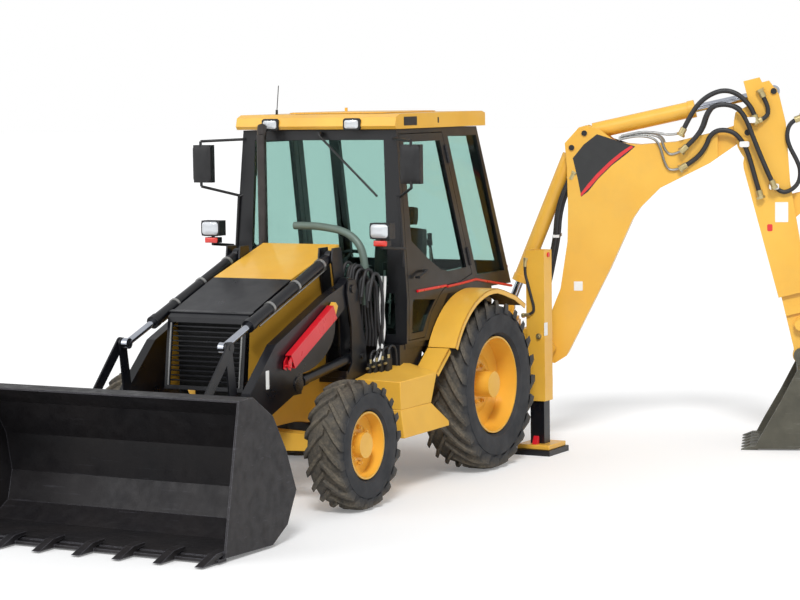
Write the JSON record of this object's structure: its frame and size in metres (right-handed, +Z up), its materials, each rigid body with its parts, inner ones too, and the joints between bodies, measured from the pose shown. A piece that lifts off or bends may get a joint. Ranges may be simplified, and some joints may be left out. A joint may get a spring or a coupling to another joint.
{
  "type": "backhoe loader",
  "caption": "Construction machine with a front loader bucket on lifting arms, an enclosed cab, and a slewing rear hoe with an extending stick and two stabiliser legs.",
  "frame": {"origin": "on the ground below the middle of the stored machine's box", "axes": "+X to the machine's left, +Y to its rear, +Z up"},
  "size_m": [4.4834, 7.3692, 3.1382],
  "materials": {
    "yellow_paint": "satin",
    "black_paint": "semi-gloss",
    "cab_black": "satin",
    "red_paint": "gloss",
    "bucket_dark": "worn",
    "bucket_olive": "worn",
    "tyre": "matte",
    "glass": "tinted",
    "chrome_rod": "polished",
    "steel_pin": "machined",
    "engine_iron": "cast",
    "seat_fabric": "woven",
    "grey_plastic": "matte",
    "black_plastic": "matte"
  },
  "bodies": {
    "chassis": {"main_frame": "yellow_paint", "front_axle": "yellow_paint", "rear_axle": "yellow_paint", "engine_block": "engine_iron", "radiator": "engine_iron", "loader_tower": "black_paint", "exhaust_stack": "black_paint", "cab_frame": "cab_black", "cab_glass": "glass", "cab_roof": "yellow_paint", "seat": "seat_fabric", "cab_controls": "grey_plastic", "rear_fenders": "yellow_paint", "side_boxes": "yellow_paint", "mirrors": "black_plastic", "work_lamps": "black_plastic", "rear_frame": "yellow_paint"},
    "hood": {"hood": "yellow_paint", "hood_nose": "black_paint"},
    "door_left": {"door_left": "cab_black", "door_glass_left": "glass"},
    "door_right": {"door_right": "cab_black", "door_glass_right": "glass"},
    "knuckle_left": {"knuckle_left": "yellow_paint"},
    "knuckle_right": {"knuckle_right": "yellow_paint"},
    "front_wheel_left": {"front_tyre_left": "tyre", "front_rim_left": "yellow_paint"},
    "front_wheel_right": {"front_tyre_right": "tyre", "front_rim_right": "yellow_paint"},
    "rear_wheel_left": {"rear_tyre_left": "tyre", "rear_rim_left": "yellow_paint"},
    "rear_wheel_right": {"rear_tyre_right": "tyre", "rear_rim_right": "yellow_paint"},
    "loader_arms": {"loader_arms": "black_paint", "service_strut": "red_paint", "loader_pins": "steel_pin"},
    "lift_barrels": {"lift_barrels": "black_paint"},
    "lift_rods": {"lift_rods": "chrome_rod"},
    "loader_bucket": {"loader_bucket": "bucket_dark"},
    "tilt_levers": {"tilt_levers": "black_paint"},
    "bucket_links": {"bucket_links": "black_paint"},
    "tilt_barrels": {"tilt_barrels": "black_paint"},
    "tilt_rods": {"tilt_rods": "chrome_rod"},
    "carriage": {"carriage": "yellow_paint"},
    "swing_post": {"swing_post": "yellow_paint"},
    "boom": {"boom": "yellow_paint"},
    "boom_barrel": {"boom_barrel": "yellow_paint"},
    "boom_rod": {"boom_rod": "chrome_rod"},
    "stick": {"stick": "yellow_paint"},
    "stick_barrel": {"stick_barrel": "yellow_paint"},
    "stick_rod": {"stick_rod": "chrome_rod"},
    "stick_inner": {"stick_inner": "yellow_paint"},
    "hoe_bucket": {"hoe_bucket": "bucket_olive"},
    "bucket_lever": {"bucket_lever": "yellow_paint"},
    "bucket_link": {"bucket_link": "yellow_paint"},
    "bucket_barrel": {"bucket_barrel": "yellow_paint"},
    "bucket_rod": {"bucket_rod": "chrome_rod"},
    "stabiliser_left": {"stabiliser_leg_left": "black_paint"},
    "stabiliser_right": {"stabiliser_leg_right": "black_paint"}
  },
  "joints": [
    {"name": "hood_hinge", "type": "hinge", "parent": "chassis", "child": "hood", "pos_m": [-1.039, -0.447, 1.868], "axis": [-1, 0, 0], "range_deg": [0, 45]},
    {"name": "door_left_hinge", "type": "hinge", "parent": "chassis", "child": "door_left", "pos_m": [-0.24447, 0.928, 1.575], "axis": [-0.0728, -0.2691, 0.9604], "range_deg": [0, 80]},
    {"name": "door_right_hinge", "type": "hinge", "parent": "chassis", "child": "door_right", "pos_m": [-1.83353, 0.928, 1.575], "axis": [-0.0728, 0.2691, -0.9604], "range_deg": [0, 80]},
    {"name": "steer_left", "type": "hinge", "parent": "chassis", "child": "knuckle_left", "pos_m": [-0.249, -1.295, 0.48], "axis": [0, 0, 1], "range_deg": [-35, 35]},
    {"name": "steer_right", "type": "hinge", "parent": "chassis", "child": "knuckle_right", "pos_m": [-1.829, -1.295, 0.48], "axis": [0, 0, 1], "range_deg": [-36, 36]},
    {"name": "front_wheel_left_spin", "type": "hinge", "parent": "knuckle_left", "child": "front_wheel_left", "pos_m": [-0.101, -1.295, 0.48], "axis": [1, 0, 0], "continuous": true},
    {"name": "rear_wheel_left_spin", "type": "hinge", "parent": "chassis", "child": "rear_wheel_left", "pos_m": [-0.159, 0.815, 0.69], "axis": [1, 0, 0], "continuous": true},
    {"name": "front_wheel_right_spin", "type": "hinge", "parent": "knuckle_right", "child": "front_wheel_right", "pos_m": [-1.977, -1.295, 0.48], "axis": [1, 0, 0], "continuous": true},
    {"name": "rear_wheel_right_spin", "type": "hinge", "parent": "chassis", "child": "rear_wheel_right", "pos_m": [-1.919, 0.815, 0.69], "axis": [1, 0, 0], "continuous": true},
    {"name": "lift", "type": "hinge", "parent": "chassis", "child": "loader_arms", "pos_m": [-1.039, -0.665, 1.57], "axis": [-1, 0, 0], "range_deg": [0, 90]},
    {"name": "lift_barrel_turn", "type": "hinge", "parent": "chassis", "child": "lift_barrels", "pos_m": [-1.039, -0.535, 1.044], "axis": [-1, 0, 0], "range_deg": [-1, 67.73]},
    {"name": "lift_rod_slide", "type": "slide", "parent": "lift_barrels", "child": "lift_rods", "axis": [0, -0.9915, -0.1301], "range_m": [-0.01, 0.6113]},
    {"name": "bucket_tilt", "type": "hinge", "parent": "loader_arms", "child": "loader_bucket", "pos_m": [-1.039, -2.475, 0.3], "axis": [1, 0, 0], "range_deg": [-40, 130]},
    {"name": "lever_turn", "type": "hinge", "parent": "loader_arms", "child": "tilt_levers", "pos_m": [-1.039, -2.132, 0.699], "axis": [1, 0, 0], "range_deg": [-37.56, 119.82]},
    {"name": "link_turn", "type": "hinge", "parent": "tilt_levers", "child": "bucket_links", "pos_m": [-1.039, -2.214, 1.268], "axis": [-1, 0, 0], "range_deg": [-31.04, 98.63]},
    {"name": "tilt_barrel_turn", "type": "hinge", "parent": "chassis", "child": "tilt_barrels", "pos_m": [-1.039, -0.709, 1.815], "axis": [-1, 0, 0], "range_deg": [-1, 99.78]},
    {"name": "tilt_rod_slide", "type": "slide", "parent": "tilt_barrels", "child": "tilt_rods", "axis": [0, -0.9398, -0.3416], "range_m": [-0.2613, 0.8268]},
    {"name": "side_shift", "type": "slide", "parent": "chassis", "child": "carriage", "axis": [1, 0, 0], "range_m": [-0.892, 0]},
    {"name": "swing", "type": "hinge", "parent": "carriage", "child": "swing_post", "pos_m": [-0.593, 2.28, 0.815], "axis": [0, 0, -1], "range_deg": [-160, 20]},
    {"name": "boom_lift", "type": "hinge", "parent": "swing_post", "child": "boom", "pos_m": [-0.25189, 2.40415, 0.834], "axis": [0.342, -0.9397, 0], "range_deg": [-75, 26]},
    {"name": "boom_barrel_turn", "type": "hinge", "parent": "boom", "child": "boom_barrel", "pos_m": [-0.05174, 2.477, 2.562], "axis": [0.342, -0.9397, 0], "range_deg": [-1.77, 3.21]},
    {"name": "boom_rod_slide", "type": "slide", "parent": "boom_barrel", "child": "boom_rod", "axis": [-0.3549, -0.1292, -0.9259], "range_m": [-0.192, 0.5349]},
    {"name": "stick_swing", "type": "hinge", "parent": "boom", "child": "stick", "pos_m": [1.35216, 2.98798, 2.673], "axis": [-0.342, 0.9397, 0], "range_deg": [-88, 38]},
    {"name": "stick_barrel_turn", "type": "hinge", "parent": "boom", "child": "stick_barrel", "pos_m": [0.05163, 2.51463, 2.684], "axis": [0.342, -0.9397, 0], "range_deg": [-2.25, 3.91]},
    {"name": "stick_rod_slide", "type": "slide", "parent": "stick_barrel", "child": "stick_rod", "axis": [0.9197, 0.3348, 0.205], "range_m": [-0.5409, 0.2392]},
    {"name": "stick_extend", "type": "slide", "parent": "stick", "child": "stick_inner", "axis": [0.2146, 0.0781, -0.9736], "range_m": [0, 1.05]},
    {"name": "hoe_bucket_turn", "type": "hinge", "parent": "stick_inner", "child": "hoe_bucket", "pos_m": [1.77221, 3.14086, 0.767], "axis": [0.342, -0.9397, 0], "range_deg": [-80, 75]},
    {"name": "bucket_lever_turn", "type": "hinge", "parent": "stick_inner", "child": "bucket_lever", "pos_m": [1.76939, 3.13984, 1.032], "axis": [0.342, -0.9397, 0], "range_deg": [-81, 76]},
    {"name": "bucket_link_turn", "type": "hinge", "parent": "bucket_lever", "child": "bucket_link", "pos_m": [2.00074, 3.22404, 0.98859], "axis": [-0.342, 0.9397, 0], "range_deg": [-81, 76]},
    {"name": "bucket_barrel_turn", "type": "hinge", "parent": "stick_inner", "child": "bucket_barrel", "pos_m": [1.8502, 3.16925, 2.13], "axis": [0.342, -0.9397, 0], "range_deg": [-3.85, 3.67]},
    {"name": "bucket_rod_slide", "type": "slide", "parent": "bucket_barrel", "child": "bucket_rod", "axis": [0.1306, 0.0475, -0.9903], "range_m": [-0.2403, 0.2556]},
    {"name": "stabiliser_left_slide", "type": "slide", "parent": "chassis", "child": "stabiliser_left", "axis": [0, 0, 1], "range_m": [-0.12, 0.32]},
    {"name": "stabiliser_right_slide", "type": "slide", "parent": "chassis", "child": "stabiliser_right", "axis": [0, 0, 1], "range_m": [-0.12, 0.32]}
  ],
  "couplings": [
    {"joint": "steer_right", "follows": "steer_left", "ratio": 1},
    {"joint": "lift_barrel_turn", "follows": "lift", "ratio": 0.74146},
    {"joint": "lift_rod_slide", "follows": "lift", "m_per_rad": 0.38279},
    {"joint": "lever_turn", "follows": "bucket_tilt", "ratio": 0.914},
    {"joint": "link_turn", "follows": "bucket_tilt", "ratio": 0.751},
    {"joint": "tilt_barrel_turn", "follows": "lift", "ratio": 1.0976},
    {"joint": "tilt_rod_slide", "follows": "bucket_tilt", "m_per_rad": 0.36},
    {"joint": "boom_barrel_turn", "follows": "boom_lift", "ratio": -0.029527},
    {"joint": "boom_rod_slide", "follows": "boom_lift", "m_per_rad": -0.401},
    {"joint": "stick_barrel_turn", "follows": "stick_swing", "ratio": -0.033022},
    {"joint": "stick_rod_slide", "follows": "stick_swing", "m_per_rad": 0.34564},
    {"joint": "bucket_lever_turn", "follows": "hoe_bucket_turn", "ratio": 1},
    {"joint": "bucket_link_turn", "follows": "hoe_bucket_turn", "ratio": 1},
    {"joint": "bucket_barrel_turn", "follows": "hoe_bucket_turn", "ratio": 0.035666},
    {"joint": "bucket_rod_slide", "follows": "hoe_bucket_turn", "m_per_rad": -0.17593}
  ]
}
